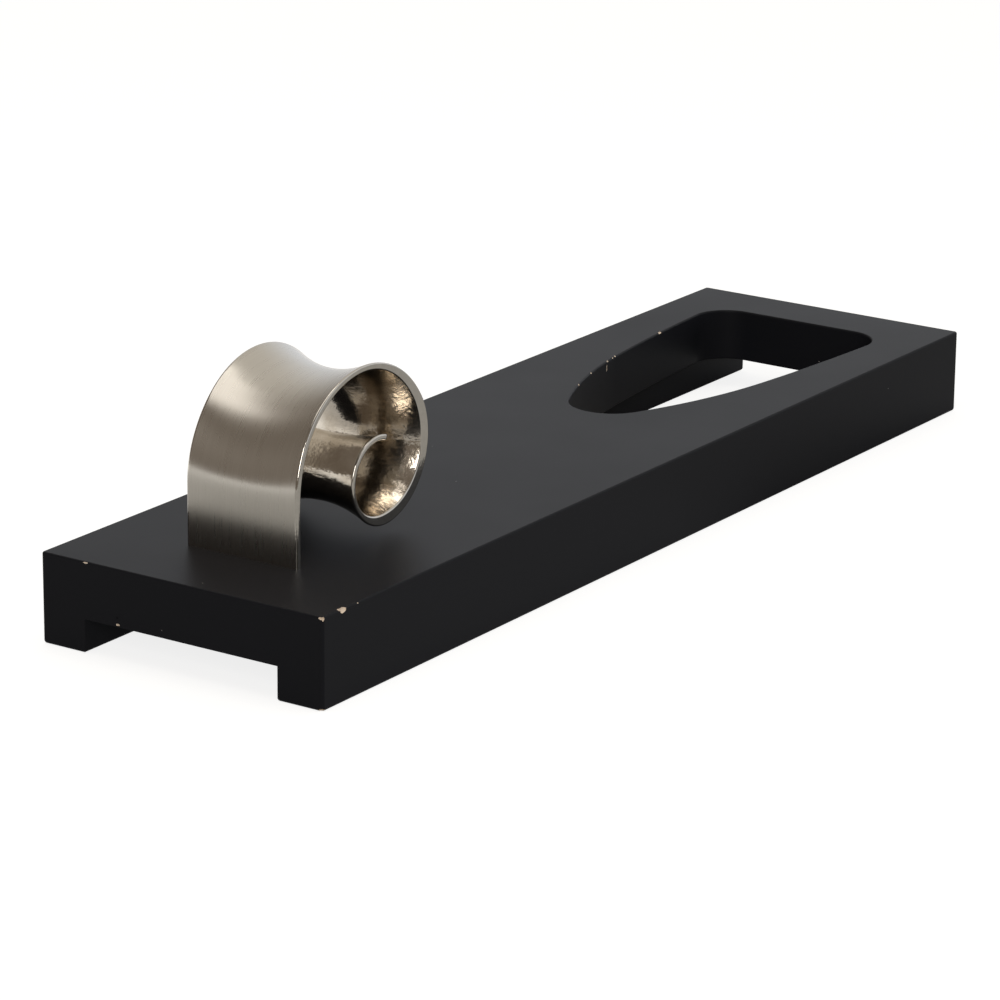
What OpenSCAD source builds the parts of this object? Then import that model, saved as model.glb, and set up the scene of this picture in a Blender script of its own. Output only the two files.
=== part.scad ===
// Wine bottle holder: a low painted board with a bottle-shaped cut-out and a scrolled metal horn.
// Millimetres, +Z up. The origin is on the table, under the middle of the board.
// X runs across the board and Y along it, with the horn at the -Y end.

/* [Board] */
// Width of the board
board_w = 96; // [90:1:120]
// Length of the board
board_l = 350; // [340:1:420]
// Thickness of the top board
top_t = 16.7; // [14:0.1:18]
// Radius of the board's four upright corners
corner_r = 1; // [0.5:0.5:3]

/* [Runners] */
// Width of each runner under the board
runner_w = 15; // [12:0.5:16]
// Height of each runner
runner_h = 10; // [9.5:0.5:16]

/* [Cut-out] */
// Wood left between the cut-out and the far end of the board
cut_land = 20; // [14:1:30]
// Radius of the cut-out's round tip
tip_r = 13.1; // [10:0.1:16]
// Angle that the tip's arc turns through, in degrees
tip_turn = 65; // [60:0.5:68]
// Radius of the long shoulder arc
shoulder_r = 172; // [150:1:185]
// Angle that the shoulder arc turns through, in degrees
shoulder_turn = 17.5; // [15:0.5:18]
// Radius of the nearly straight side arc
side_r = 750; // [600:10:800]
// Angle that the side arc turns through, in degrees
side_turn = 4.4; // [3.5:0.1:4.7]
// Radius of the two far corners
cut_corner_r = 11.5; // [6:0.5:16]

/* [Horn outline] */
// Distance from the board's front end to the horn's front face
horn_setback = 28; // [20:1:40]
// Height of the horn's straight foot
foot_h = 18; // [17:0.5:26]
// Radius of the front bend, which goes up and over the crown
bend_r = 32.6; // [30:0.1:36]
// Angle of the front bend, in degrees
bend_turn = 146; // [140:1:148]
// Radius down the back of the loop
back_r = 22.3; // [20:0.1:24]
// Angle of the back arc, in degrees
back_turn = 114; // [110:1:118]
// Radius under the loop
under_r = 16.5; // [14.5:0.1:18]
// Angle of the arc under the loop, in degrees
under_turn = 69; // [64:1:74]
// Radius of the inner curl
curl_r = 12.8; // [11.5:0.1:13.5]
// Angle of the inner curl, in degrees
curl_turn = 140; // [110:1:146]

/* [Horn section] */
// Width of the horn at its foot
foot_w = 38; // [34:0.5:42]
// Width of the horn from the bend onwards
band_w = 37; // [34:0.5:42]
// Depth of the saddle across the crown, back and bottom
saddle_sag = 4.5; // [3:0.1:5.5]
// Depth of the saddle at the inner tip
tip_sag = 2.7; // [1:0.1:4]
// Wall at the foot
foot_wall = 1.8; // [1.5:0.1:2.4]
// Wall over the front bend and crown
bend_wall = 2; // [1.6:0.1:2.6]
// Wall at the back, where the casting is heaviest
back_wall = 3.7; // [2.6:0.1:4]
// Wall at the inner tip
tip_wall = 1.8; // [1.4:0.1:2.4]

/* [Horn fixing] */
// Diameter of the two bosses behind the foot
boss_d = 8; // [7.5:0.5:9]
// Height of each boss
boss_h = 13; // [11:0.5:16]
// Distance between the two bosses
boss_pitch = 18; // [16:1:22]
// Thread diameter of the horn screws
screw_d = 4; // [3:0.5:4]
// Length of a horn screw under its head
screw_l = 25; // [22:1:26]
// Diameter of the screw head
head_d = 8; // [7:0.5:9]
// Height of the screw head
head_h = 2.6; // [2:0.1:3.2]
// Outer diameter of the washer
washer_d = 9; // [9:0.5:12]
// Thickness of the washer
washer_t = 0.8; // [0.5:0.1:1.6]

/* [Dowels] */
// Diameter of the dowels that locate the runners
dowel_d = 6; // [4:1:8]
// Length of a dowel
dowel_l = 16; // [14:1:18]
// Depth of a dowel in its runner
dowel_seat = 7; // [6:0.5:7.5]
// Distance from each end of the board to the first dowel
dowel_inset = 32; // [20:1:50]

/* [Clearances] */
// Radial clearance of a screw in its tapped boss
thread_fit = 0.05; // [0.02:0.01:0.1]
// Radial clearance of a screw in the board and the washer
screw_fit = 0.25; // [0.2:0.05:0.5]
// Radial clearance of a dowel in its holes
dowel_fit = 0.05; // [0.03:0.01:0.1]
// Depth left past the end of a dowel or a screw in its blind hole
end_gap = 0.8; // [0.5:0.1:1.2]

/* [Hidden] */
SIDES = ["left", "right"];
PLACES = ["front", "middle", "rear"];

$fn = 96;
cut_past = 1;              // how far a cutting tool runs past the face it cuts
wood_col = "#2c2c2f";
horn_col = "#a8a196";
steel_col = "#c9cacc";
beech_col = "#d3b083";

top_z = runner_h + top_t;
front_y = -board_l / 2;
runner_x = board_w / 2 - runner_w / 2;

// Cut-out: one side is a chain of arcs from the tip to the far edge, as [radius, turn]
outline_angle = 3;         // most that the outline turns between two points, in degrees
least_steps = 6;           // fewest steps along any arc
far_turn = 180 - tip_turn - shoulder_turn - side_turn;
cut_arcs = [[tip_r, tip_turn], [shoulder_r, shoulder_turn], [side_r, side_turn], [cut_corner_r, far_turn]];
cut_side = follow([0, 0, 0], cut_arcs, outline_angle);
cut_l = cut_side[len(cut_side) - 1][1];
cut_tip_y = board_l / 2 - cut_land - cut_l;

// Horn: its outer face in the Y-Z plane is a straight foot and then four tangent arcs
horn_angle = 6;            // most that the band turns between two rings, in degrees
horn_y = front_y + horn_setback;
horn_arcs = [[bend_r, -bend_turn], [back_r, -back_turn], [under_r, -under_turn], [curl_r, -curl_turn]];
up = 90;
foot_rings = 3;
foot_stations = [for (s = [0:foot_rings - 1]) [horn_y, foot_h * s / foot_rings, up]];
horn_path = concat(foot_stations, follow([horn_y, foot_h, up], horn_arcs, horn_angle));
all_turn = bend_turn + back_turn + under_turn + curl_turn;
across = 8;                // steps across the band
ring = 2 * (across + 1);   // points round one station

// The saddle, wall and width change with the angle turned since the foot
shaped_by = 90;            // the saddle has its full depth from here
half_way_share = 0.6;      // share of that depth half way there
curl_share = 0.9;          // share of it where the inner curl starts
wall_turn = 20;            // how far past the front bend the wall has its full weight
back_from = bend_turn + wall_turn;
back_to = bend_turn + back_turn;
curl_from = all_turn - curl_turn;
sag_at = [[0, 0], [shaped_by / 2, saddle_sag * half_way_share], [shaped_by, saddle_sag],
    [curl_from, saddle_sag * curl_share], [all_turn, tip_sag]];
wall_at = [[0, foot_wall], [shaped_by / 2, bend_wall], [shaped_by, bend_wall],
    [back_from, back_wall], [back_to, back_wall], [curl_from, tip_wall], [all_turn, tip_wall]];
width_at = [[0, foot_w], [shaped_by / 2, band_w], [all_turn, band_w]];

// Fixings
boss_root = 1;             // how far a boss runs into the foot's plate
boss_y = horn_y + foot_wall + boss_d / 2 - boss_root;
boss_chamfer = 1;
under_head_z = runner_h - washer_t;
tap_depth = under_head_z + screw_l - top_z + end_gap;
screw_point = 0.6;         // chamfer at the screw's end
head_taper = 1.2;          // how far the head draws in at its rounded side
recess_l = 4.4;
recess_w = 1;
recess_depth = 1.4;
dowel_z = runner_h - dowel_seat;
dowel_chamfer = 0.5;

// A pose is [x, y, heading]. This turns it by an angle, left if positive, on a radius.
function turned(p, r, a) =
    let (s = sign(a), h = p[2] + a)
    [p[0] + s * r * (sin(h) - sin(p[2])), p[1] - s * r * (cos(h) - cos(p[2])), h];

// The poses along a chain of tangent arcs, where none turns by more than the step from the last
function follow(p, arcs, step, i = 0) =
    i == len(arcs) ? [p] :
    let (r = arcs[i][0], a = arcs[i][1], n = max(ceil(abs(a) / step), least_steps))
    concat([for (k = [0:n - 1]) turned(p, r, a * k / n)], follow(turned(p, r, a), arcs, step, i + 1));

function side(name) = name == "left" ? -1 : 1;
function dowel_y(place) =
    (place == "front" ? -1 : place == "rear" ? 1 : 0) * (board_l / 2 - dowel_inset);

// One ring of the horn: the outer face from left to right, then the inner face back again
function horn_ring(p) =
    let (t = up - p[2], half = lookup(t, width_at) / 2, sag = lookup(t, sag_at), wall = lookup(t, wall_at),
        outer = [for (j = [0:across]) let (u = 2 * j / across - 1) [u * half, sag * (1 - u * u)]],
        inner = [for (j = [across:-1:0]) outer[j] + [0, wall]])
    [for (q = concat(outer, inner)) [q[0], p[0] + q[1] * sin(p[2]), p[1] - q[1] * cos(p[2])]];

module plan() {
    side_x = board_w - 2 * corner_r;
    side_y = board_l - 2 * corner_r;
    square([board_w, side_y], center = true);
    square([side_x, board_l], center = true);
    for (x = [-1, 1], y = [-1, 1])
        translate([x * side_x / 2, y * side_y / 2])
            circle(corner_r);
}

module cut_out() {
    half = [for (p = cut_side) [p[0], p[1]]];
    other = [for (i = [len(half) - 2:-1:1]) [-half[i][0], half[i][1]]];
    translate([0, cut_tip_y])
        polygon(concat(half, other));
}

module dowel_holes() {
    hole_l = dowel_l + 2 * end_gap;
    for (s = SIDES, place = PLACES)
        translate([side(s) * runner_x, dowel_y(place), dowel_z - end_gap])
            cylinder(h = hole_l, r = dowel_d / 2 + dowel_fit);
}

module top_board() {
    color(wood_col)
        difference() {
            translate([0, 0, runner_h])
                linear_extrude(top_t)
                    difference() {
                        plan();
                        cut_out();
                    }
            dowel_holes();
            for (s = SIDES)
                translate([side(s) * boss_pitch / 2, boss_y, runner_h - cut_past])
                    cylinder(h = top_t + 2 * cut_past, r = screw_d / 2 + screw_fit);
        }
}

module runner(s) {
    color(wood_col)
        difference() {
            linear_extrude(runner_h)
                intersection() {
                    plan();
                    translate([side(s) * runner_x, 0])
                        square([runner_w, board_l], center = true);
                }
            dowel_holes();
        }
}

// The scrolled band: rings joined by triangles, with a flat end at the foot and at the tip
module band() {
    n = len(horn_path);
    pts = [for (p = horn_path) each horn_ring(p)];
    skin = [for (i = [0:n - 2], j = [0:ring - 1])
        let (a = i * ring + j, b = i * ring + (j + 1) % ring)
        each [[a, b + ring, b], [a, a + ring, b + ring]]];
    foot_end = [for (j = [0:across - 1])
        let (a = j, b = j + 1, c = ring - 2 - j, d = ring - 1 - j)
        each [[a, b, c], [a, c, d]]];
    last = (n - 1) * ring;
    tip_end = [for (f = foot_end) [last + f[0], last + f[2], last + f[1]]];
    polyhedron(pts, concat(skin, foot_end, tip_end));
}

module boss() {
    cylinder(h = boss_h - boss_chamfer, d = boss_d);
    translate([0, 0, boss_h - boss_chamfer])
        cylinder(h = boss_chamfer, d1 = boss_d, d2 = boss_d - 2 * boss_chamfer);
}

module horn() {
    color(horn_col)
        translate([0, 0, top_z])
            difference() {
                union() {
                    band();
                    for (s = SIDES)
                        translate([side(s) * boss_pitch / 2, boss_y, 0])
                            boss();
                }
                for (s = SIDES)
                    translate([side(s) * boss_pitch / 2, boss_y, -cut_past])
                        cylinder(h = tap_depth + cut_past, r = screw_d / 2 + thread_fit);
            }
}

module horn_screw(s) {
    color(steel_col)
        translate([side(s) * boss_pitch / 2, boss_y, under_head_z])
            difference() {
                union() {
                    cylinder(h = screw_l - screw_point, d = screw_d);
                    translate([0, 0, screw_l - screw_point])
                        cylinder(h = screw_point, d1 = screw_d, d2 = screw_d - 2 * screw_point);
                    translate([0, 0, -head_h / 2])
                        cylinder(h = head_h / 2, d = head_d);
                    translate([0, 0, -head_h])
                        cylinder(h = head_h / 2, d1 = head_d - 2 * head_taper, d2 = head_d);
                }
                for (a = [0, 90])
                    rotate([0, 0, a])
                        translate([0, 0, -head_h])
                            cube([recess_l, recess_w, 2 * recess_depth], center = true);
            }
}

module horn_washer(s) {
    color(steel_col)
        translate([side(s) * boss_pitch / 2, boss_y, under_head_z])
            difference() {
                cylinder(h = washer_t, d = washer_d);
                translate([0, 0, -cut_past])
                    cylinder(h = washer_t + 2 * cut_past, r = screw_d / 2 + screw_fit);
            }
}

module dowel(s, place) {
    color(beech_col)
        translate([side(s) * runner_x, dowel_y(place), dowel_z]) {
            cylinder(h = dowel_chamfer, d1 = dowel_d - 2 * dowel_chamfer, d2 = dowel_d);
            translate([0, 0, dowel_chamfer])
                cylinder(h = dowel_l - 2 * dowel_chamfer, d = dowel_d);
            translate([0, 0, dowel_l - dowel_chamfer])
                cylinder(h = dowel_chamfer, d1 = dowel_d, d2 = dowel_d - 2 * dowel_chamfer);
        }
}

top_board();
runner("left");  // left_runner
runner("right");  // right_runner
horn();
horn_screw("left");  // left_horn_screw
horn_screw("right");  // right_horn_screw
horn_washer("left");  // left_horn_washer
horn_washer("right");  // right_horn_washer
dowel("left", "front");  // left_front_dowel
dowel("left", "middle");  // left_middle_dowel
dowel("left", "rear");  // left_rear_dowel
dowel("right", "front");  // right_front_dowel
dowel("right", "middle");  // right_middle_dowel
dowel("right", "rear");  // right_rear_dowel
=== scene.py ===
"""A wine bottle holder: a painted board on two runners, with a cast and brushed scroll for the neck.

The board's cut-out takes the bottle's base, and the neck lies in the saddle of the scroll, here
called the horn. Everything is in metres, in the frame of the packed model: +Z up, the origin on the
table under the middle of the board, and the horn at the -Y end.
"""

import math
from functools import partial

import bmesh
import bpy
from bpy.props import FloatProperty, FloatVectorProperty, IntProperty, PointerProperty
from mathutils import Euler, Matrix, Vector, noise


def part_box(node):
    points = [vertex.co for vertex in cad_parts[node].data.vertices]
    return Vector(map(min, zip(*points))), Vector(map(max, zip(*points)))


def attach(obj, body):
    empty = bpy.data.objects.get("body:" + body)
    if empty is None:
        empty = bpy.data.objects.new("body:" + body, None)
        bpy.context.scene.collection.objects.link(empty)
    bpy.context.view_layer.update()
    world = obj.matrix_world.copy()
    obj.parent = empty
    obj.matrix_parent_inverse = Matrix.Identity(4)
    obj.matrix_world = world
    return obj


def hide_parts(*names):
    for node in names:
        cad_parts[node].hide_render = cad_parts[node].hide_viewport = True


bl_info = {
    "name": "Wine bottle holder",
    "version": (1, 0, 0),
    "blender": (4, 5, 0),
    "location": "View3D > Sidebar > Bottle holder",
    "description": "Builds a low painted bottle holder with a brushed metal horn, on a pale floor",
    "category": "Object",
}

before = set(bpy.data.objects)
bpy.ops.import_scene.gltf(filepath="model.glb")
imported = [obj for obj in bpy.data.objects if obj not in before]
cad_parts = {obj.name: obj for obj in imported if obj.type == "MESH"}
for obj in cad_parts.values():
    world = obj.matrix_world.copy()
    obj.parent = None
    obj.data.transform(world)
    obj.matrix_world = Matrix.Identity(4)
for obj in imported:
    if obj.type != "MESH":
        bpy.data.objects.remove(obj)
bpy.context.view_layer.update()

MM = 0.001
MERGE = 0.002 * MM  # corners that are closer than this are one
NEAR = 0.1 * MM     # how far a corner may be from the level that it is picked by
QUARTER = math.radians(90)  # a quarter turn
SIDES = {"left": -1, "right": 1}
PLACES = ("front", "middle", "rear")
BOARD_LOW, BOARD_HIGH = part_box("top_board")
RUNNER_LOW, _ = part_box("right_runner")
HORN_LOW, HORN_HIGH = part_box("horn")


# Colours and properties

def linear(code):
    """An sRGB hex colour as linear red, green, blue and an alpha of 1."""
    parts = [int(code[i:i + 2], 16) / 255 for i in (1, 3, 5)]
    return tuple(p / 12.92 if p <= 0.04045 else ((p + 0.055) / 1.055) ** 2.4 for p in parts) + (1.0,)


def shade(tone, by):
    """A linear colour made darker or brighter."""
    return [min(c * by, 1) for c in tone[:3]] + [1]


def length(name, about, mm):
    """A length property, given in millimetres."""
    return FloatProperty(name=name, description=about, default=mm * MM, precision=5, unit="LENGTH")


def angle(name, about, degrees):
    """An angle property, given in degrees."""
    return FloatProperty(name=name, description=about, default=math.radians(degrees), subtype="ANGLE")


def colour(name, about, code):
    """A colour property, given as an sRGB hex code."""
    return FloatVectorProperty(
        name=name, description=about, default=linear(code), size=4, min=0, max=1, subtype="COLOR"
    )


class BoardSettings(bpy.types.PropertyGroup):
    """The painted board, its cut-out and its two runners."""

    corner_round: length("Corner radius", "Radius of the upright corners and under the runners", 1.0)
    edge_round: length("Edge radius", "Radius sanded on the long edges before painting", 0.6)
    tip_radius: length("Tip radius", "Radius of the cut-out's round tip", 13.1)
    tip_turn: angle("Tip turn", "Angle of the tip's arc on each side", 65)
    shoulder_radius: length("Shoulder radius", "Radius of the cut-out's long shoulder", 172)
    shoulder_turn: angle("Shoulder turn", "Angle of the shoulder's arc", 17.5)
    side_radius: length("Side radius", "Radius of the cut-out's nearly straight side", 750)
    side_turn: angle("Side turn", "Angle of the side's arc", 4.4)
    far_radius: length("Far corner radius", "Radius of the cut-out's two far corners", 11.5)
    land: length("Land", "Wood left between the cut-out and the far end", 20)
    paint: colour("Paint", "Satin black lacquer", "#18191D")
    wood: colour("Bare board", "Fibreboard where the paint is chipped", "#F4EADC")


class HornSettings(bpy.types.PropertyGroup):
    """The cast horn: a straight foot, then four tangent arcs that roll inwards."""

    foot_height: length("Foot height", "Height of the straight foot", 18)
    bend_radius: length("Bend radius", "Radius of the front bend and crown", 32.6)
    bend_turn: angle("Bend turn", "Angle of the front bend", 146)
    back_radius: length("Back radius", "Radius down the back of the loop", 22.3)
    back_turn: angle("Back turn", "Angle of the back arc", 114)
    under_radius: length("Under radius", "Radius under the loop", 16.5)
    under_turn: angle("Under turn", "Angle of the arc under the loop", 69)
    curl_radius: length("Curl radius", "Radius of the inner curl", 12.8)
    curl_turn: angle("Curl turn", "Angle of the inner curl", 140)
    foot_width: length("Foot width", "Width at the foot", 38)
    band_width: length("Band width", "Width from the bend onwards", 37)
    saddle: length("Saddle depth", "Depth of the saddle across the crown", 4.5)
    tip_saddle: length("Tip saddle", "Depth of the saddle at the inner tip", 2.7)
    foot_wall: length("Foot wall", "Wall at the foot", 1.8)
    bend_wall: length("Bend wall", "Wall over the front bend and crown", 2.0)
    back_wall: length("Back wall", "Wall at the back of the loop", 3.7)
    tip_wall: length("Tip wall", "Wall at the inner tip", 1.8)
    rim_round: length("Rim radius", "Radius filed on the band's outer edges", 0.8)
    rim_break: length("Rim break", "Radius broken on the band's inner edges", 0.4)
    brushed_turn: angle("Brushed turn", "Angle up to which the outer face is brushed", 290)
    wave: length("Casting wave", "Height of the waves left in the cast inner face", 0.07)
    brushed: colour("Brushed metal", "Outer face", "#CDC8BF")
    cast: colour("Polished metal", "Inner face", "#E4DED4")
    tarnish: colour("Tarnish", "Darkened metal in the hollows of the inner face", "#998B76")


class FixingSettings(bpy.types.PropertyGroup):
    """Screws, washers and dowels, which show from below or inside."""

    boss_diameter: length("Boss diameter", "Diameter of the two bosses behind the foot", 8)
    boss_height: length("Boss height", "Height of the bosses", 13)
    boss_chamfer: length("Boss chamfer", "Chamfer at the top of a boss", 1)
    boss_pitch: length("Boss pitch", "Distance between the two bosses", 18)
    screw_diameter: length("Screw diameter", "Diameter over the thread", 4)
    screw_pitch: length("Screw pitch", "Pitch of the coarse thread", 0.7)
    thread_depth: length("Thread depth", "Height of the thread over its core", 0.38)
    thread_fit: length("Thread fit", "Radial clearance of the screw in its boss", 0.05)
    screw_fit: length("Screw fit", "Radial clearance of the screw in the board", 0.25)
    recess_width: length("Recess width", "Width of the recess cutter's slots at its wide end", 1)
    recess_length: length("Recess length", "Length of the recess cutter's slots at its wide end", 4.4)
    recess_depth: length("Recess depth", "Depth of the cross recess", 1.4)
    dowel_fit: length("Dowel fit", "Radial clearance of a dowel in its hole", 0.05)
    end_gap: length("End gap", "Depth left past the end of a dowel or screw", 0.8)
    flute_depth: length("Flute depth", "Depth of the glue flutes on a dowel", 0.25)
    flutes: IntProperty(name="Flutes", description="Number of glue flutes on a dowel", default=16)
    steel: colour("Zinc plate", "Screws and washers", "#C3C7CC")
    beech: colour("Beech", "Dowels", "#D3B083")


class StageSettings(bpy.types.PropertyGroup):
    """Camera, floor and light."""

    camera_place: FloatVectorProperty(
        name="Camera place", description="Where the camera stands",
        default=(0.71197, -1.08008, 0.41545), size=3, subtype="XYZ", unit="LENGTH"
    )
    azimuth: angle("Azimuth", "Camera's angle round the object, from the horn's end", 33.8867)
    elevation: angle("Elevation", "Camera's angle above the horizon", 17.5949)
    roll: angle("Roll", "Camera's turn about its own axis", 0.5442)
    lens: FloatProperty(
        name="Lens", description="Focal length on a 36 mm sensor", default=161.84, unit="CAMERA"
    )
    floor: colour("Floor", "Pale table top, as lit", "#A4A4A2")
    backdrop: colour("Backdrop", "Paper behind the object, as metal and paint see it", "#F4F8FF")
    ceiling: colour("Ceiling", "Upper part of the paper sweep", "#DAD5CD")
    room: colour("Room", "The room behind the camera", "#7C736A")
    key_light: colour("Key light", "Colour of the soft boxes", "#FFFCF8")


# Nodes

# A Mix node's colour sockets share their names with others, so they go by number
MIX_A, MIX_B, MIX_COLOUR = 6, 7, 2


def connect(node, inputs):
    """Set a node's inputs. Each is a value, or the output that it is linked from."""
    for name, value in inputs.items():
        if isinstance(value, bpy.types.NodeSocket):
            node.id_data.links.new(value, node.inputs[name])
        else:
            node.inputs[name].default_value = value


def add_node(tree, kind, inputs=None, **settings):
    """Add a node with its settings and its inputs."""
    node = tree.nodes.new("ShaderNode" + kind)
    for name, value in settings.items():
        setattr(node, name, value)
    connect(node, inputs or {})
    return node


def start_material(name):
    """A new material, its shader, and add_node for its tree."""
    material = bpy.data.materials.new(name)
    material.use_nodes = True
    tree = material.node_tree
    return material, tree.nodes["Principled BSDF"], partial(add_node, tree)


def per(mm):
    """A texture scale that gives features of this size, on coordinates in metres."""
    return 1 / (mm * MM)


def mix(add, factor, first, second):
    """A mix of two colours."""
    node = add("Mix", {"Factor": factor, MIX_A: first, MIX_B: second}, data_type="RGBA")
    return node.outputs[MIX_COLOUR]


def mottle(add, place, mm, detail):
    """Noise with features of this size."""
    return add("TexNoise", {"Vector": place, "Scale": per(mm), "Detail": detail}).outputs["Fac"]


def spread(add, value, least, most):
    """A value from 0 to 1 brought into a range."""
    return add("MapRange", {"Value": value, "To Min": least, "To Max": most}).outputs["Result"]


def relief(add, height, strength, mm):
    """A normal bent by bumps of this height."""
    return add("Bump", {"Height": height, "Strength": strength, "Distance": mm * MM}).outputs["Normal"]


# Mesh tools

def box_and_foot(node):
    """A node's lowest and highest corner, and the middle of its underside."""
    low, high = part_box(node)
    return low, high, Vector(((low.x + high.x) / 2, (low.y + high.y) / 2, low.z))


class Pen:
    """Draws edges in the XY plane: straight runs extrude its tip, and arcs spin it."""

    def __init__(self, bm, x, y):
        self.bm = bm
        self.tip = bmesh.ops.create_vert(bm, co=(x, y, 0))["vert"][0]
        self.start = self.tip
        self.heading = 0.0

    def line(self, run, turn=0.0):
        """Turn on the spot, to the left if positive, and draw straight on."""
        self.heading += turn
        self.tip = bmesh.ops.extrude_vert_indiv(self.bm, verts=[self.tip])["verts"][0]
        step = Vector((math.cos(self.heading), math.sin(self.heading), 0)) * run
        bmesh.ops.translate(self.bm, verts=[self.tip], vec=step)

    def arc(self, radius, by, step=math.radians(3)):
        """Draw an arc tangent to the heading, to the left if its angle is positive."""
        left = Vector((-math.sin(self.heading), math.cos(self.heading), 0))
        centre = self.tip.co + left * math.copysign(radius, by)
        steps = max(math.ceil(abs(by) / step), 2)
        out = bmesh.ops.spin(
            self.bm, geom=[self.tip], cent=centre, axis=(0, 0, 1), angle=by, steps=steps
        )
        self.tip = [v for v in out["geom_last"] if isinstance(v, bmesh.types.BMVert)][0]
        self.heading += by


def join(bm, a, b):
    """An edge between two vertices."""
    bmesh.ops.contextual_create(bm, geom=[a, b])


def close_up(bm):
    """Merge what lies together and point every face outwards."""
    bmesh.ops.remove_doubles(bm, verts=bm.verts, dist=MERGE)
    bmesh.ops.recalc_face_normals(bm, faces=bm.faces)


def round_edges(bm, edges, radius, segments, material=-1):
    """Round these edges. The rounding takes its neighbours' material unless one is given."""
    bmesh.ops.bevel(
        bm, geom=edges, offset=radius, offset_type="OFFSET", segments=segments, profile=0.5,
        affect="EDGES", clamp_overlap=True, material=material,
    )


def is_sharp(edge):
    """Whether the two faces of an edge meet at a clear angle."""
    return len(edge.link_faces) == 2 and edge.calc_face_angle() > math.radians(50)


def sharp_edges(bm, test):
    """The sharp edges whose two ends both pass a test of their place."""
    return [e for e in bm.edges if is_sharp(e) and all(test(v.co) for v in e.verts)]


def extrude_up(bm, faces, height):
    """Give flat faces a thickness upwards."""
    out = bmesh.ops.extrude_face_region(bm, geom=faces, use_keep_orig=True)
    top = [g for g in out["geom"] if isinstance(g, bmesh.types.BMVert)]
    bmesh.ops.translate(bm, verts=top, vec=(0, 0, height))


def lathe(bm, steps):
    """Stand the profile drawn in XY up on the Z axis and spin it into a closed round."""
    bmesh.ops.rotate(bm, verts=bm.verts, cent=(0, 0, 0), matrix=Matrix.Rotation(QUARTER, 3, "X"))
    bmesh.ops.spin(
        bm, geom=bm.verts[:] + bm.edges[:], cent=(0, 0, 0), axis=(0, 0, 1),
        angle=2 * math.pi, steps=steps, use_merge=True,
    )
    close_up(bm)


def add_cylinder(bm, place, radius, height):
    """A closed cylinder that stands on a point."""
    middle = Matrix.Translation(Vector(place) + Vector((0, 0, height / 2)))
    bmesh.ops.create_cone(
        bm, cap_ends=True, segments=48, radius1=radius, radius2=radius, depth=height, matrix=middle
    )


def new_object(name, bm, *materials):
    """A smooth-shaded object made of a bmesh."""
    mesh = bpy.data.meshes.new(name)
    bmesh.ops.recalc_face_normals(bm, faces=bm.faces)
    bm.to_mesh(mesh)
    bm.free()
    for material in materials:
        mesh.materials.append(material)
    mesh.shade_smooth()
    obj = bpy.data.objects.new(name, mesh)
    bpy.context.collection.objects.link(obj)
    return obj


def apply_modifiers(obj):
    """Keep the shape that an object's modifiers give, and drop them."""
    graph = bpy.context.evaluated_depsgraph_get()
    mesh = bpy.data.meshes.new_from_object(obj.evaluated_get(graph))
    old = obj.data
    obj.modifiers.clear()
    obj.data = mesh
    bpy.data.meshes.remove(old)


def combine(obj, tool, operation):
    """Cut an object with a tool, or add the tool to it. The tool is used up."""
    modifier = obj.modifiers.new(operation.lower(), "BOOLEAN")
    modifier.operation = operation
    modifier.solver = "EXACT"
    modifier.use_self = True
    modifier.material_mode = "TRANSFER"
    modifier.object = tool
    apply_modifiers(obj)
    bpy.data.objects.remove(tool)


def clear_slivers(mesh):
    """Collapse the slivers that cuts leave, and faces with no area."""
    bm = bmesh.new()
    bm.from_mesh(mesh)
    bmesh.ops.dissolve_degenerate(bm, dist=MERGE, edges=bm.edges)
    bm.to_mesh(mesh)
    bm.free()


def dress(obj, slot, *nodes):
    """Finish a piece: even shading over its flats, its body and the nodes it stands for. The slot argument
    is not used.
    """
    clear_slivers(obj.data)
    obj.data.set_sharp_from_angle(angle=math.radians(35))
    weights = obj.modifiers.new("even shading", "WEIGHTED_NORMAL")
    weights.keep_sharp = True
    apply_modifiers(obj)
    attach(obj, "root")
    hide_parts(*nodes)


def between(points, at):
    """A smooth curve through points, each a place and a value, read at one place."""
    places = [p for p, _ in points]
    values = [v for _, v in points]
    last = len(points) - 1
    at = min(max(at, places[0]), places[last])
    i = min(sum(p <= at for p in places) - 1, last - 1)

    def slope(k):
        low, high = max(k - 1, 0), min(k + 1, last)
        if values[k] in (values[low], values[high]):
            return 0.0
        return (values[high] - values[low]) / (places[high] - places[low])

    run = places[i + 1] - places[i]
    t = (at - places[i]) / run
    return (
        (2 * t**3 - 3 * t**2 + 1) * values[i]
        + (t**3 - 2 * t**2 + t) * run * slope(i)
        + (3 * t**2 - 2 * t**3) * values[i + 1]
        + (t**3 - t**2) * run * slope(i + 1)
    )


# Materials

def satin_lacquer(board):
    """Cellulose lacquer, sprayed black and rubbed satin: dark face on, with a soft sheen at low angles."""
    material, shader, add = start_material("satin_black_lacquer")
    place = add("TexCoord").outputs["Object"]
    cloud = mottle(add, place, 45, 3.0)
    peel = mottle(add, place, 0.9, 2.0)
    tone = mix(add, cloud, board.paint, shade(board.paint, 1.25))
    # Dust that the lacquer caught: a speck in some cells of a coarse grid
    dust = add("TexVoronoi", {"Vector": place, "Scale": per(16)})
    near = add("Math", {0: dust.outputs["Distance"], 1: 0.012}, operation="LESS_THAN")
    connect(shader, {
        "Base Color": mix(add, near.outputs["Value"], tone, linear("#8C8A88")),
        "Roughness": spread(add, cloud, 0.38, 0.46),
        "Normal": relief(add, peel, 0.12, 0.01), "Specular IOR Level": 0.09,
    })
    return material


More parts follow.
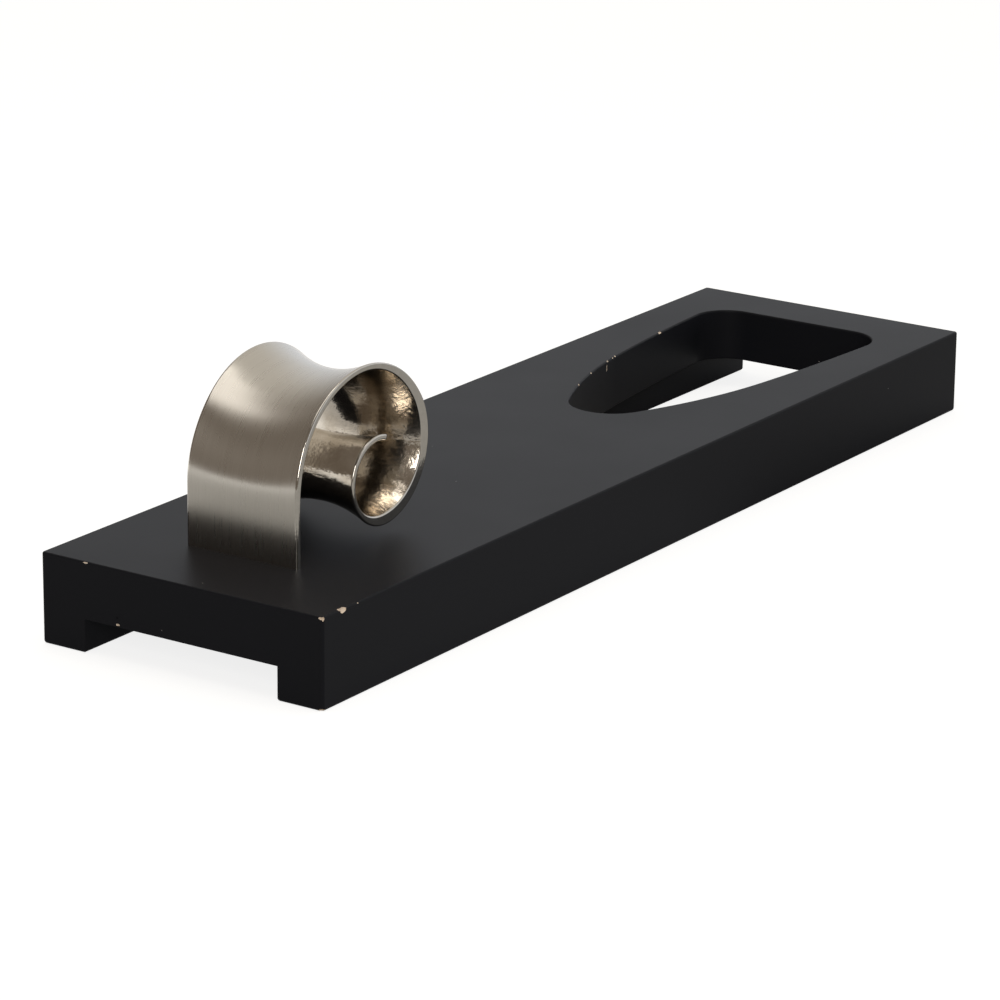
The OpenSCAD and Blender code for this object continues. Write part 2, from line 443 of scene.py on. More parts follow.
def bare_fibreboard(board):
    """Medium-density fibreboard, broken or drilled: matt, felted, with darker fibres."""
    material, shader, add = start_material("bare_fibreboard")
    fibre = mottle(add, add("TexCoord").outputs["Object"], 0.4, 4.0)
    connect(shader, {
        "Base Color": mix(add, fibre, linear("#D2BCA4"), board.wood),
        "Normal": relief(add, fibre, 0.6, 0.1), "Roughness": 0.85,
    })
    return material


def brushed_nickel(horn):
    """Nickel plate, brushed along the band: fine streaks, and highlights spread across them."""
    material, shader, add = start_material("brushed_nickel")
    strip = add("UVMap", uv_map="strip").outputs["UV"]
    # The UV map holds the distance across and along the band, in metres
    hair = add("Mapping", {"Vector": strip, "Scale": (per(0.35), per(14), 1)})
    band = add("Mapping", {"Vector": strip, "Scale": (per(2.2), per(40), 1)})
    fine = add("TexNoise", {"Vector": hair.outputs["Vector"], "Scale": 1.0, "Detail": 3.0})
    broad = add("TexNoise", {"Vector": band.outputs["Vector"], "Scale": 1.0, "Detail": 2.0})
    both = add("Mix", {
        "Factor": 0.4, "A": fine.outputs["Fac"], "B": broad.outputs["Fac"],
    }, data_type="FLOAT").outputs["Result"]
    connect(shader, {
        "Base Color": mix(add, both, shade(horn.brushed, 0.87), shade(horn.brushed, 1.1)),
        "Roughness": spread(add, both, 0.24, 0.32),
        "Normal": relief(add, fine.outputs["Fac"], 0.05, 0.02),
        "Tangent": add("Tangent", direction_type="UV_MAP", uv_map="strip").outputs["Tangent"],
        "Metallic": 1.0, "Anisotropic": 0.8,
    })
    return material


def satin_nickel(horn):
    """Nickel plate on the filed edge of the casting: satin, a little uneven."""
    material, shader, add = start_material("satin_nickel_rim")
    spots = mottle(add, add("TexCoord").outputs["Object"], 1.6, 3.0)
    connect(shader, {
        "Base Color": mix(add, spots, shade(horn.brushed, 0.78), horn.brushed),
        "Roughness": spread(add, spots, 0.08, 0.16),
        "Normal": relief(add, spots, 0.6, 0.05), "Metallic": 1.0,
    })
    return material


def polished_casting(horn):
    """Nickel plate over the cast inner face: glossy, rippled, with tarnish in random patches."""
    material, shader, add = start_material("polished_nickel_casting")
    place = add("TexCoord").outputs["Object"]
    # The ripples run across the band
    run = add("Mapping", {"Vector": place, "Scale": (per(8), per(2.8), per(2.8))})
    ripple = add("TexNoise", {
        "Vector": run.outputs["Vector"], "Scale": 1.0, "Detail": 2.0, "Distortion": 0.6,
    })
    grit = mottle(add, place, 1.1, 3.0)
    patch = mottle(add, place, 9, 3.0)
    tone = mix(add, patch, horn.tarnish, horn.cast)
    rough = spread(add, grit, 0.1, 0.2)
    waves = relief(add, ripple.outputs["Fac"], 0.4, 0.3)
    bump = add("Bump", {"Height": grit, "Strength": 0.4, "Distance": 0.15 * MM, "Normal": waves})
    connect(shader, {
        "Base Color": tone, "Roughness": rough, "Normal": bump.outputs["Normal"], "Metallic": 1.0,
    })
    return material


def zinc_steel(fixings):
    """Bright zinc plate on rolled steel: bluish, with a faint crystal mottle."""
    material, shader, add = start_material("zinc_plated_steel")
    place = add("TexCoord").outputs["Object"]
    crystal = add("TexVoronoi", {"Vector": place, "Scale": per(0.8)}).outputs["Distance"]
    wear = mottle(add, place, 0.5, 3.0)
    connect(shader, {
        "Base Color": mix(add, crystal, fixings.steel, shade(fixings.steel, 0.7)),
        "Roughness": spread(add, wear, 0.22, 0.42),
        "Normal": relief(add, wear, 0.1, 0.02), "Metallic": 1.0,
    })
    return material


def turned_beech(fixings):
    """Beech rod with its grain upright: short dark flecks in a pale, even wood."""
    material, shader, add = start_material("turned_beech")
    place = add("TexCoord").outputs["Object"]
    grain = add("Mapping", {"Vector": place, "Scale": (per(0.5), per(0.5), per(6))})
    fleck = add("TexNoise", {"Vector": grain.outputs["Vector"], "Scale": 1.0, "Detail": 4.0})
    tone = add("ValToRGB", {"Fac": fleck.outputs["Fac"]})
    tone.color_ramp.elements[0].position = 0.36
    tone.color_ramp.elements[0].color = linear("#9C7448")
    tone.color_ramp.elements[1].position = 0.52
    tone.color_ramp.elements[1].color = fixings.beech
    connect(shader, {
        "Base Color": tone.outputs["Color"], "Normal": relief(add, fleck.outputs["Fac"], 0.3, 0.05),
        "Roughness": 0.7,
    })
    return material


def pale_floor(stage):
    """A white table top: white to the camera apart from shadows, with a painted glow and a painted shadow
    that only reflections see, and open from below.
    """
    material, shader, add = start_material("pale_floor")
    light = add("LightPath")
    side = add("NewGeometry")
    connect(shader, {"Base Color": stage.floor, "Roughness": 0.9, "Specular IOR Level": 0.0})
    # Painted light: in reflections the paper glows, brighter towards the back left where the sweep begins,
    # as a painted pool of light
    place = add("VectorMath", {
        0: side.outputs["Position"], 1: (-0.95, 0.3, 0),
    }, operation="DOT_PRODUCT")
    sweep = add("MapRange", {
        "Value": place.outputs["Value"], "From Min": 0.02, "From Max": 0.22, "To Min": 0.2, "To Max": 0.95,
    })
    # Painted shadow: below the cut-out, where the table lies in the board's shadow, the painted glow is
    # taken away
    gap = add("VectorMath", {
        0: side.outputs["Position"], 1: (0, 0.1, 0),
    }, operation="DISTANCE")
    shadow = add("MapRange", {"Value": gap.outputs["Value"], "From Min": 0.06, "From Max": 0.1})
    # The painted glow, with the painted shadow taken out of it
    paper = add("Math", {
        0: sweep.outputs["Result"], 1: shadow.outputs["Result"],
    }, operation="MULTIPLY")
    # Only reflections see the painted glow and its painted shadow
    glossy = add("Math", {
        0: light.outputs["Is Glossy Ray"], 1: paper.outputs["Value"],
    }, operation="MULTIPLY")
    # To the camera the floor glows nearly white by itself, and the lamps add the rest
    seen = add("Math", {
        0: light.outputs["Is Camera Ray"], 1: 0.82, 2: glossy.outputs["Value"],
    }, operation="MULTIPLY_ADD")
    glow = add("Emission", {"Strength": seen.outputs["Value"]})
    lit = add("AddShader", {0: shader.outputs["BSDF"], 1: glow.outputs["Emission"]})
    clear = add("BsdfTransparent")
    both = add("MixShader", {
        "Fac": side.outputs["Backfacing"], 1: lit.outputs["Shader"], 2: clear.outputs["BSDF"],
    })
    connect(material.node_tree.nodes["Material Output"], {"Surface": both.outputs["Shader"]})
    return material


# Operators

class HOLDER_OT_stage(bpy.types.Operator):
    """Set the floor, the world, three soft boxes and the camera"""

    bl_idname = "holder.stage"
    bl_label = "Build stage"

    floor_size = 3.0                  # edge of the floor, in metres
    paper_from = (0.425, 0.8, 0.423)  # towards the middle of the paper sweep behind the object
    # Name, direction from the horn, distance, width and height in metres, and power in watts
    boxes = (
        ("soft box above", (-0.15, -0.24, 0.96), 0.9, (0.62, 0.44), 1.25),
        ("soft box by the camera", (0.50, -0.79, 0.385), 1.6, (0.5, 0.75), 7.5),
        ("small soft box overhead", (0.12, 0.1, 0.99), 0.9, (0.26, 0.26), 0.5),
    )

    def execute(self, context):
        stage = context.scene.holder_stage
        self.build_floor(stage)
        self.build_world(context.scene, stage)
        self.build_lights(stage)
        self.build_camera(context.scene, stage)
        context.scene.view_settings.view_transform = "Standard"
        return {"FINISHED"}

    def build_floor(self, stage):
        bm = bmesh.new()
        bmesh.ops.create_grid(bm, x_segments=1, y_segments=1, size=self.floor_size / 2)
        floor = new_object("floor", bm, pale_floor(stage))

    def build_world(self, scene, stage):
        """White to the camera. To the object: pale paper behind, and a dim room behind the camera."""
        scene.world = bpy.data.worlds.new("studio")
        scene.world.use_nodes = True
        add = partial(add_node, scene.world.node_tree)
        outward = add("TexCoord").outputs["Generated"]
        facing = add("VectorMath", {0: outward, 1: self.paper_from}, operation="DOT_PRODUCT")
        height = add("SeparateXYZ", {"Vector": outward})
        sweep = add("MapRange", {
            "Value": height.outputs["Z"], "From Min": 0.15, "From Max": 0.7,
        })
        paper = mix(add, sweep.outputs["Result"], stage.backdrop, stage.ceiling)
        edge = add("MapRange", {
            "Value": facing.outputs["Value"], "From Min": -0.05, "From Max": 0.55,
        }, interpolation_type="SMOOTHSTEP")
        end = add("MapRange", {
            "Value": height.outputs["Y"], "From Min": -0.15, "From Max": 0.15,
        }, interpolation_type="SMOOTHSTEP")
        both = add("Math", {
            0: edge.outputs["Result"], 1: end.outputs["Result"],
        }, operation="MULTIPLY")
        around = mix(add, both.outputs["Value"], stage.room, paper)
        light = add("LightPath")
        seen = mix(add, light.outputs["Is Camera Ray"], around, (1, 1, 1, 1))
        connect(scene.world.node_tree.nodes["Background"], {"Color": seen})

    def build_lights(self, stage):
        target = (HORN_LOW + HORN_HIGH) / 2
        for name, way, gap, size, power in self.boxes:
            light = bpy.data.lights.new(name, "AREA")
            light.shape = "RECTANGLE"
            light.size, light.size_y = size
            light.energy = power
            light.color = stage.key_light[:3]
            lamp = bpy.data.objects.new(name, light)
            lamp.location = target + Vector(way).normalized() * gap
            lamp.rotation_euler = Vector(way).to_track_quat("Z", "Y").to_euler()
            lamp.visible_camera = False
            bpy.context.collection.objects.link(lamp)

    def build_camera(self, scene, stage):
        """The photograph's viewpoint: placed, turned and then rolled about its own axis."""
        data = bpy.data.cameras.new("camera")
        data.lens = stage.lens
        data.sensor_width = 36
        camera = bpy.data.objects.new("camera", data)
        turn = Euler((QUARTER - stage.elevation, 0, stage.azimuth)).to_matrix()
        camera.rotation_euler = (turn @ Matrix.Rotation(stage.roll, 3, "Z")).to_euler()
        camera.location = stage.camera_place
        bpy.context.collection.objects.link(camera)
        scene.camera = camera


class HOLDER_OT_top_board(bpy.types.Operator):
    """Build the painted board with its cut-out, screw holes and chipped edges"""

    bl_idname = "holder.top_board"
    bl_label = "Build top board"

    def execute(self, context):
        board = context.scene.holder_board
        fixings = context.scene.holder_fixings
        bm = bmesh.new()
        self.draw_plan(bm, board)
        extrude_up(bm, bm.faces[:], BOARD_HIGH.z - BOARD_LOW.z)
        close_up(bm)
        round_edges(bm, [e for e in bm.edges if self.is_sanded(e)], board.edge_round, 4)
        obj = new_object("top_board_lacquered", bm, satin_lacquer(board))
        wood = bare_fibreboard(board)
        combine(obj, self.holes(fixings, wood), "DIFFERENCE")
        combine(obj, chip_tool("board chips", BOARD_CHIPS, wood), "DIFFERENCE")
        dress(obj, "painted_board", "top_board")
        return {"FINISHED"}

    def draw_plan(self, bm, board):
        """One half of the plan as a filled outline, then its mirror image."""
        inner = Pen(bm, 0, 0)
        far_turn = 2 * QUARTER - board.tip_turn - board.shoulder_turn - board.side_turn
        inner.arc(board.tip_radius, board.tip_turn)
        inner.arc(board.shoulder_radius, board.shoulder_turn, math.radians(1))
        inner.arc(board.side_radius, board.side_turn, math.radians(1))
        inner.arc(board.far_radius, far_turn)
        inner.line(inner.tip.co.x)
        cut = BOARD_HIGH.y - board.land - inner.tip.co.y
        bmesh.ops.translate(bm, verts=bm.verts, vec=(0, cut, 0))
        outer = Pen(bm, 0, BOARD_LOW.y)
        half = BOARD_HIGH.x - board.corner_round
        for run in (half, BOARD_HIGH.y - BOARD_LOW.y - 2 * board.corner_round):
            outer.line(run)
            outer.arc(board.corner_round, QUARTER, math.radians(15))
        outer.line(half)
        join(bm, outer.start, inner.start)
        join(bm, outer.tip, inner.tip)
        bmesh.ops.contextual_create(bm, geom=bm.edges[:])
        everything = bm.verts[:] + bm.edges[:] + bm.faces[:]
        bmesh.ops.mirror(bm, geom=everything, axis="X", merge_dist=MERGE)
        bmesh.ops.translate(bm, verts=bm.verts, vec=(0, 0, BOARD_LOW.z))

    def is_sanded(self, edge):
        """Whether an edge was sanded: those round the top, and those round the cut-out below."""
        if not is_sharp(edge):
            return False
        a, b = (v.co for v in edge.verts)
        if abs(a.z - b.z) > NEAR:
            return False
        middle = (a + b) / 2
        inside = abs(middle.x) < RUNNER_LOW.x and abs(middle.y) < BOARD_HIGH.y - MM
        return middle.z > BOARD_LOW.z + MM or inside

    def holes(self, fixings, wood):
        """Clearance holes for the two horn screws, and blind holes for the dowels."""
        bm = bmesh.new()
        past = MM
        for side in SIDES:
            _, _, foot = box_and_foot(side + "_horn_screw")
            place = (foot.x, foot.y, BOARD_LOW.z - past)
            radius = fixings.screw_diameter / 2 + fixings.screw_fit
            add_cylinder(bm, place, radius, BOARD_HIGH.z - BOARD_LOW.z + 2 * past)
        add_dowel_holes(bm, fixings, SIDES)
        return new_object("holes", bm, wood)


def add_dowel_holes(bm, fixings, sides):
    """Cylinders a little wider and longer than the dowels of these sides."""
    for side in sides:
        for place in PLACES:
            low, high, foot = box_and_foot(f"{side}_{place}_dowel")
            foot.z -= fixings.end_gap
            radius = (high.x - low.x) / 2 + fixings.dowel_fit
            add_cylinder(bm, foot, radius, high.z - low.z + 2 * fixings.end_gap)


# Chips in the paint: a place on an edge and half sizes in millimetres, and a turn about Z in degrees
BOARD_CHIPS = (
    ((-32.3, -175.1, 26.5), (1.0, 0.35, 0.3), 0),
    ((47.4, -174.9, 26.3), (0.75, 0.45, 0.35), 8),
    ((47.8, -174.5, 26.1), (0.35, 0.5, 0.6), 30),
    ((47.8, -165.8, 26.3), (0.8, 1.4, 0.8), 0),
    ((47.5, -167.0, 26.6), (0.6, 0.7, 0.3), 20),
    ((48.0, -159.0, 26.4), (0.22, 0.25, 0.22), 0),
    ((-21.5, -175.0, 12.7), (0.25, 0.25, 0.25), 0),
    ((-21.3, -175.1, 10.7), (0.75, 0.3, 0.3), 0),
    ((-18.3, 50.7, 26.6), (0.3, 0.45, 0.3), 30),
    ((-22.4, 64.1, 26.6), (0.3, 0.5, 0.3), 20),
    ((-25.5, 78.5, 26.6), (0.35, 0.55, 0.35), 17),
    ((-25.2, 77.7, 24.6), (0.3, 0.25, 1.25), 17),
    ((-26.2, 82.7, 26.7), (0.35, 0.45, 0.3), 17),
    ((-26.7, 84.6, 26.7), (0.35, 0.5, 0.3), 17),
    ((-30.2, 117.0, 26.6), (0.5, 0.9, 0.4), 6),
)
RUNNER_CHIPS = (
    ((47.3, -174.4, 0.3), (0.9, 0.9, 0.6), 0),
)


def chip_tool(name, chips, wood):
    """Roughened lumps that break small chips out of an edge."""
    bm = bmesh.new()
    for place, size, turn in chips:
        lump = bmesh.ops.create_icosphere(bm, subdivisions=3, radius=1)["verts"]
        for v in lump:
            v.co *= 1 + 0.3 * noise.noise(v.co * 1.7 + Vector(place))
        bmesh.ops.scale(bm, verts=lump, vec=Vector(size) * MM)
        bmesh.ops.rotate(bm, verts=lump, cent=(0, 0, 0), matrix=Matrix.Rotation(math.radians(turn), 3, "Z"))
        bmesh.ops.translate(bm, verts=lump, vec=Vector(place) * MM)
    return new_object(name, bm, wood)


class HOLDER_OT_runners(bpy.types.Operator):
    """Build the two painted runners under the board"""

    bl_idname = "holder.runners"
    bl_label = "Build runners"

    def execute(self, context):
        board = context.scene.holder_board
        fixings = context.scene.holder_fixings
        paint = bpy.data.materials["satin_black_lacquer"]
        wood = bpy.data.materials["bare_fibreboard"]
        for side, way in SIDES.items():
            low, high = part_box(side + "_runner")
            bm = bmesh.new()
            middle = Matrix.Translation((low + high) / 2) @ Matrix.Diagonal((*(high - low), 1))
            bmesh.ops.create_cube(bm, size=1, matrix=middle)
            outer = high.x if way > 0 else low.x
            on_side = sharp_edges(bm, lambda co: abs(co.x - outer) < MM)
            upright = [e for e in on_side if abs(e.verts[0].co.z - e.verts[1].co.z) > MM]
            round_edges(bm, upright, board.corner_round, 6)
            round_edges(bm, sharp_edges(bm, lambda co: co.z < low.z + MM), board.corner_round, 6)
            obj = new_object(side + "_runner_lacquered", bm, paint)
            bm = bmesh.new()
            add_dowel_holes(bm, fixings, [side])
            combine(obj, new_object("holes", bm, wood), "DIFFERENCE")
            if side == "right":
                combine(obj, chip_tool("runner chips", RUNNER_CHIPS, wood), "DIFFERENCE")
            dress(obj, "painted_board", side + "_runner")
        return {"FINISHED"}


class HOLDER_OT_horn(bpy.types.Operator):
    """Build the cast horn, which carries the bottle's neck"""

    bl_idname = "holder.horn"
    bl_label = "Build horn"

    across = 28                    # strips across the band
    turn_step = math.radians(2.5)  # turn between two stations
    foot_step = 1.5 * MM           # height between two stations of the foot
    wave_size = 5 * MM             # width of a casting wave
    outer_face, inner_face, rim_face = range(3)  # places in the horn's list of materials

    def execute(self, context):
        horn = context.scene.holder_horn
        fixings = context.scene.holder_fixings
        outside = brushed_nickel(horn)
        inside = polished_casting(horn)
        rim = satin_nickel(horn)
        bm = bmesh.new()
        self.roll_band(bm, horn)
        self.shape_saddle(bm, horn)
        self.give_wall(bm, horn)
        # The rim's outer edges are filed well round. Its inner edges and the tip are only broken
        filing = ((0, horn.rim_round, 6), (1, horn.rim_break, 4), (None, horn.rim_break, 4))
        for depth, radius, segments in filing:
            round_edges(bm, self.sharp(bm, depth), radius, segments, material=self.rim_face)
        self.map_strip(bm)
        obj = new_object("horn_casting", bm, outside, inside, rim)
        combine(obj, self.bosses(fixings, inside), "UNION")
        combine(obj, self.tapped_holes(fixings, inside), "DIFFERENCE")
        dress(obj, "horn_metal", "horn")
        return {"FINISHED"}

    def sharp(self, bm, depth):
        """The sharp edges, apart from those that stand on the board.

        With a depth, only those along the band's sides, on its outer (0) or inner (1) face."""
        level = HORN_LOW.z + NEAR
        edges = [e for e in bm.edges if is_sharp(e) and any(v.co.z > level for v in e.verts)]
        return [e for e in edges if depth is None or self.is_long(e, depth)]

    def is_long(self, edge, depth):
        """Whether an edge runs along the band's side, on its outer (0) or inner (1) face."""
        return all(abs(v[self.over]) > 0.999 and abs(v[self.depth] - depth) < 0.001 for v in edge.verts)

    def roll_band(self, bm, horn):
        """The outer face: a line across the foot, drawn up and then spun through four arcs.

        Each vertex keeps the angle turned, the distance from the foot and its place across."""
        self.turned = bm.verts.layers.float.new("turned")
        self.along = bm.verts.layers.float.new("along")
        self.over = bm.verts.layers.float.new("across")
        self.depth = bm.verts.layers.float.new("depth")
        row = Pen(bm, -horn.foot_width / 2, HORN_LOW.y)
        for _ in range(self.across):
            row.line(horn.foot_width / self.across)
        bmesh.ops.translate(bm, verts=bm.verts, vec=(0, 0, HORN_LOW.z))
        verts, edges = bm.verts[:], bm.edges[:]
        for v in verts:
            v[self.over] = v.co.x / (horn.foot_width / 2)
        rows = math.ceil(horn.foot_height / self.foot_step)
        for k in range(rows):
            out = bmesh.ops.extrude_edge_only(bm, edges=edges)["geom"]
            verts, edges = self.split(out)
            bmesh.ops.translate(bm, verts=verts, vec=(0, 0, horn.foot_height / rows))
            self.mark(verts, 0, horn.foot_height * (k + 1) / rows)
        turned, along = 0.0, horn.foot_height
        for radius, turn in self.arcs(horn):
            steps = math.ceil(turn / self.turn_step)
            centre = verts[0].co + self.inward(turned) * radius
            for k in range(steps):
                out = bmesh.ops.spin(
                    bm, geom=verts + edges, cent=centre, axis=(1, 0, 0), angle=-turn / steps, steps=1
                )["geom_last"]
                verts, edges = self.split(out)
                turned += turn / steps
                along += radius * turn / steps
                self.mark(verts, turned, along)

    def arcs(self, horn):
        """Radius and turn of each arc, in the order drawn."""
        return (
            (horn.bend_radius, horn.bend_turn), (horn.back_radius, horn.back_turn),
            (horn.under_radius, horn.under_turn), (horn.curl_radius, horn.curl_turn),
        )

    def split(self, geom):
        """The vertices and the edges among these elements."""
        return (
            [g for g in geom if isinstance(g, bmesh.types.BMVert)],
            [g for g in geom if isinstance(g, bmesh.types.BMEdge)],
        )

    def mark(self, verts, turned, along):
        """Note the angle turned and the distance from the foot."""
        for v in verts:
            v[self.turned] = turned
            v[self.along] = along

    def inward(self, turned):
        """From the outer face towards the middle of the roll."""
        return Vector((0, math.cos(turned), -math.sin(turned)))

    def shape_saddle(self, bm, horn):
        """Narrow the band to its width and sink its middle, more over the crown than at the foot."""
        whole = sum(turn for _, turn in self.arcs(horn))
        curl = whole - horn.curl_turn
        sags = (
            (0, 0), (QUARTER / 2, horn.saddle * 0.6), (QUARTER, horn.saddle),
            (curl, horn.saddle * 0.9), (whole, horn.tip_saddle),
        )
        widths = ((0, horn.foot_width), (QUARTER / 2, horn.band_width), (whole, horn.band_width))
        for v in bm.verts:
            turned, u = v[self.turned], v[self.over]
            v.co.x = u * between(widths, turned) / 2
            v.co += self.inward(turned) * between(sags, turned) * (1 - u * u)

    def give_wall(self, bm, horn):
        """Thicken the sheet inwards. The inner face keeps the waves of the casting."""
        whole = sum(turn for _, turn in self.arcs(horn))
        back = horn.bend_turn + horn.back_turn
        walls = (
            (0, horn.foot_wall), (QUARTER / 2, horn.bend_wall), (QUARTER, horn.bend_wall),
            (horn.bend_turn + math.radians(20), horn.back_wall), (back, horn.back_wall),
            (whole - horn.curl_turn, horn.tip_wall), (whole, horn.tip_wall),
        )
        outer = bm.faces[:]
        out = bmesh.ops.extrude_face_region(
            bm, geom=outer + bm.edges[:] + bm.verts[:], use_keep_orig=True
        )["geom"]
        inner = [g for g in out if isinstance(g, bmesh.types.BMFace)]
        for v in self.split(out)[0]:
            turned, u = v[self.turned], v[self.over]
            fade = min(1, 4 * (1 - abs(u))) * min(1, turned / QUARTER)
            wave = noise.noise(v.co / self.wave_size) * horn.wave * fade
            v.co += self.inward(turned) * (between(walls, turned) + wave)
            v[self.depth] = 1
        for face in bm.faces:
            face.material_index = self.rim_face
        for face in outer:
            reached = min(v[self.turned] for v in face.verts) < horn.brushed_turn
            face.material_index = self.outer_face if reached else self.inner_face
        for face in inner:
            face.material_index = self.inner_face
        bmesh.ops.recalc_face_normals(bm, faces=bm.faces)

    def map_strip(self, bm):
        """UVs that are the distance across and along the band, in metres."""
        strip = bm.loops.layers.uv.new("strip")
        for face in bm.faces:
            for loop in face.loops:
                loop[strip].uv = (loop.vert.co.x, loop.vert[self.along])

    def bosses(self, fixings, metal):
        """The two posts behind the foot, chamfered on top."""
        bm = bmesh.new()
        for place in self.boss_places(fixings):
            add_cylinder(bm, place, fixings.boss_diameter / 2, fixings.boss_height)
        top = sharp_edges(bm, lambda co: co.z > HORN_LOW.z + MM)
        round_edges(bm, top, fixings.boss_chamfer, 4)
        return new_object("bosses", bm, metal)

    def tapped_holes(self, fixings, metal):
        """The holes up the bosses, a little deeper than the screws reach."""
        bm = bmesh.new()
        _, screw_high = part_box("left_horn_screw")
        past = MM
        depth = screw_high.z + fixings.end_gap - HORN_LOW.z
        for place in self.boss_places(fixings):
            start = Vector(place) - Vector((0, 0, past))
            add_cylinder(bm, start, fixings.screw_diameter / 2 + fixings.thread_fit, depth + past)
        return new_object("tapped holes", bm, metal)

    def boss_places(self, fixings):
        """Where the bosses stand on the board, in line with the screws."""
        _, _, foot = box_and_foot("right_horn_screw")
        return [(way * fixings.boss_pitch / 2, foot.y, HORN_LOW.z) for way in SIDES.values()]


class HOLDER_OT_screws(bpy.types.Operator):
    """Build the two screws and washers that hold the horn from below"""

    bl_idname = "holder.screws"
    bl_label = "Build screws and washers"

    turn_steps = 20          # steps in one turn of the thread
    ridge_root = 0.05 * MM   # how far the thread's ridge runs into the core
    point = 0.6 * MM         # chamfer at the screw's end
    top_radius = 1.6 * MM    # rounding of the pan head
    recess_end = 0.55        # the recess cutter's narrow end, as a share of its wide end
    washer_round = 0.2 * MM  # rounding of the washer's edges

    def execute(self, context):
        fixings = context.scene.holder_fixings
        steel = zinc_steel(fixings)
        for side in SIDES:
            self.build_screw(side, fixings, steel)
            self.build_washer(side, fixings, steel)
        return {"FINISHED"}

    def build_screw(self, side, fixings, steel):
        low, high, foot = box_and_foot(side + "_horn_screw")
        washer_low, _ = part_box(side + "_horn_washer")
        head_height = washer_low.z - low.z
        head = (high.x - low.x) / 2
        core = fixings.screw_diameter / 2 - fixings.thread_depth
        bm = bmesh.new()
        profile = Pen(bm, 0, 0)
        profile.line(head - self.top_radius)
        profile.arc(self.top_radius, QUARTER, math.radians(9))
        profile.line(head_height - self.top_radius)
        profile.line(head - core, QUARTER)
        profile.line(high.z - washer_low.z - self.point, -QUARTER)
        profile.line(self.point * math.sqrt(2), QUARTER / 2)
        profile.line(core - self.point, QUARTER / 2)
        lathe(bm, 48)
        bmesh.ops.translate(bm, verts=bm.verts, vec=foot)
        obj = new_object(side + "_horn_screw_m4", bm, steel)
        combine(obj, self.recess(foot, fixings, steel), "DIFFERENCE")
        combine(obj, self.thread(foot, head_height, high.z - self.point, fixings, steel), "UNION")
        dress(obj, "zinc_steel", side + "_horn_screw")

    def thread(self, foot, head_height, top, fixings, steel):
        """A ridge of triangular section, spun up the core and closed at its ends."""
        bm = bmesh.new()
        core = fixings.screw_diameter / 2 - fixings.thread_depth - self.ridge_root
        crest = fixings.screw_diameter / 2
        pitch = fixings.screw_pitch
        ridge = [
            bmesh.ops.create_vert(bm, co=(radius, 0, height * pitch))["vert"][0]
            for radius, height in ((core, 0.06), (crest, 0.5), (core, 0.94))
        ]
        first = bmesh.ops.contextual_create(bm, geom=ridge)["faces"]
        turns = math.floor((top - foot.z - head_height) / pitch) - 1
        steps = turns * self.turn_steps
        start = bm.edges[:] + bm.verts[:] + first
        bmesh.ops.spin(
            bm, geom=start, cent=(0, 0, 0), axis=(0, 0, 1), dvec=(0, 0, pitch / self.turn_steps),
            angle=2 * math.pi * turns, steps=steps,
        )
        bmesh.ops.translate(bm, verts=bm.verts, vec=foot + Vector((0, 0, head_height + pitch / 2)))
        return new_object("thread", bm, steel)

    def recess(self, foot, fixings, steel):
        """The recess's cutter: a cross drawn below the head and pushed up to a narrower end in it."""
        bm = bmesh.new()
        width = fixings.recess_width
        arm = (fixings.recess_length - width) / 2
        cross = Pen(bm, -width / 2, -width / 2)
        for run, turn in ((arm, -QUARTER), (width, QUARTER), (arm, QUARTER)) * 4:
            cross.line(run, turn)
        close_up(bm)
        bmesh.ops.contextual_create(bm, geom=bm.edges[:])
        extrude_up(bm, bm.faces[:], 2 * fixings.recess_depth)
        inner = [v for v in bm.verts if v.co.z > fixings.recess_depth]
        bmesh.ops.scale(bm, verts=inner, vec=(self.recess_end, self.recess_end, 1))
        bmesh.ops.translate(bm, verts=bm.verts, vec=foot - Vector((0, 0, fixings.recess_depth)))
        return new_object("recess", bm, steel)

    def build_washer(self, side, fixings, steel):
        low, high, foot = box_and_foot(side + "_horn_washer")
        hole = fixings.screw_diameter / 2 + fixings.screw_fit
        bm = bmesh.new()
        r = self.washer_round
        ring = Pen(bm, hole + r, 0)
        for run in ((high.x - low.x) / 2 - hole, high.z - low.z) * 2:
            ring.line(run - 2 * r)
            ring.arc(r, QUARTER, math.radians(30))
        lathe(bm, 64)
        bmesh.ops.translate(bm, verts=bm.verts, vec=foot)
        dress(new_object(side + "_horn_washer_plain", bm, steel), "zinc_steel", side + "_horn_washer")


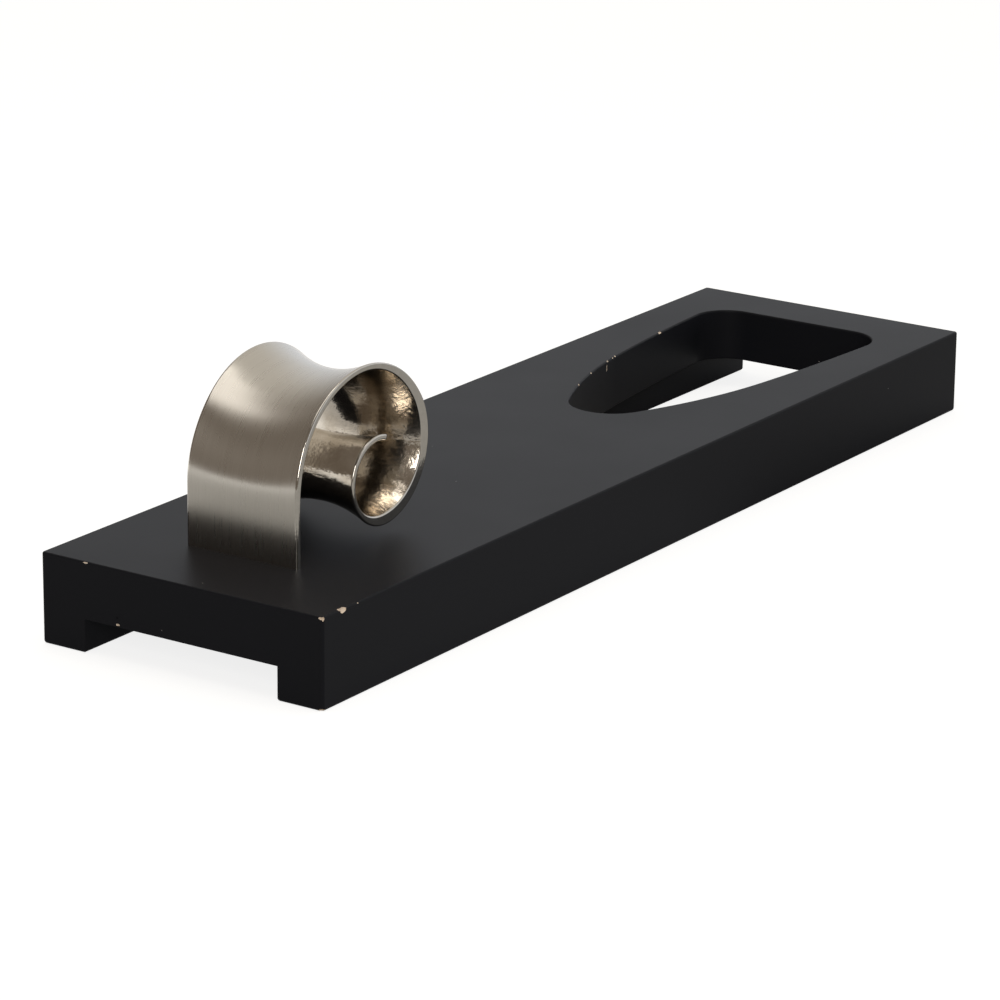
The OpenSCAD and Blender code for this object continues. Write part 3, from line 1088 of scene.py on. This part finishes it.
class HOLDER_OT_dowels(bpy.types.Operator):
    """Build the six fluted dowels that locate the runners"""

    bl_idname = "holder.dowels"
    bl_label = "Build dowels"

    chamfer = 0.5 * MM  # at each end
    flute_points = 6    # points round the rod for each flute

    def execute(self, context):
        fixings = context.scene.holder_fixings
        beech = turned_beech(fixings)
        for side in SIDES:
            for place in PLACES:
                self.build_dowel(f"{side}_{place}_dowel", fixings, beech)
        return {"FINISHED"}

    def build_dowel(self, node, fixings, beech):
        low, high, foot = box_and_foot(node)
        radius = (high.x - low.x) / 2
        bm = bmesh.new()
        bmesh.ops.create_circle(
            bm, cap_ends=True, segments=fixings.flutes * self.flute_points, radius=radius
        )
        for v in bm.verts:
            turn = math.atan2(v.co.y, v.co.x) * fixings.flutes
            v.co *= 1 - fixings.flute_depth / radius * max(0, math.cos(turn)) ** 2
        height = high.z - low.z
        extrude_up(bm, bm.faces[:], height)
        # A ring near each end keeps the rod at its full width up to the chamfer
        narrow = 1 - self.chamfer / radius
        for end, ring in ((0, self.chamfer), (height, height - self.chamfer)):
            everything = bm.verts[:] + bm.edges[:] + bm.faces[:]
            bmesh.ops.bisect_plane(bm, geom=everything, plane_co=(0, 0, ring), plane_no=(0, 0, 1))
            rim = [v for v in bm.verts if abs(v.co.z - end) < NEAR]
            bmesh.ops.scale(bm, verts=rim, vec=(narrow, narrow, 1))
        bmesh.ops.translate(bm, verts=bm.verts, vec=foot)
        dress(new_object(node + "_fluted", bm, beech), "beech", node)


class HOLDER_PT_panel(bpy.types.Panel):
    """Sizes, colours and build steps of the bottle holder"""

    bl_idname = "HOLDER_PT_panel"
    bl_label = "Bottle holder"
    bl_space_type = "VIEW_3D"
    bl_region_type = "UI"
    bl_category = "Bottle holder"

    def draw(self, context):
        for operator in OPERATORS:
            self.layout.operator(operator.bl_idname)
        for name, settings in SETTINGS.items():
            box = self.layout.box()
            box.label(text=settings.__doc__)
            for key in settings.__annotations__:
                box.prop(getattr(context.scene, name), key)


SETTINGS = {
    "holder_board": BoardSettings,
    "holder_horn": HornSettings,
    "holder_fixings": FixingSettings,
    "holder_stage": StageSettings,
}
OPERATORS = (
    HOLDER_OT_stage, HOLDER_OT_top_board, HOLDER_OT_runners, HOLDER_OT_horn,
    HOLDER_OT_screws, HOLDER_OT_dowels,
)


def register():
    for kind in (*SETTINGS.values(), *OPERATORS, HOLDER_PT_panel):
        bpy.utils.register_class(kind)
    for name, settings in SETTINGS.items():
        setattr(bpy.types.Scene, name, PointerProperty(type=settings))


def unregister():
    for name in SETTINGS:
        delattr(bpy.types.Scene, name)
    for kind in reversed((*SETTINGS.values(), *OPERATORS, HOLDER_PT_panel)):
        bpy.utils.unregister_class(kind)


def main():
    """Register the add-on and build everything."""
    register()
    for operator in OPERATORS:
        group, name = operator.bl_idname.split(".")
        getattr(getattr(bpy.ops, group), name)()


if __name__ == "__main__":
    main()
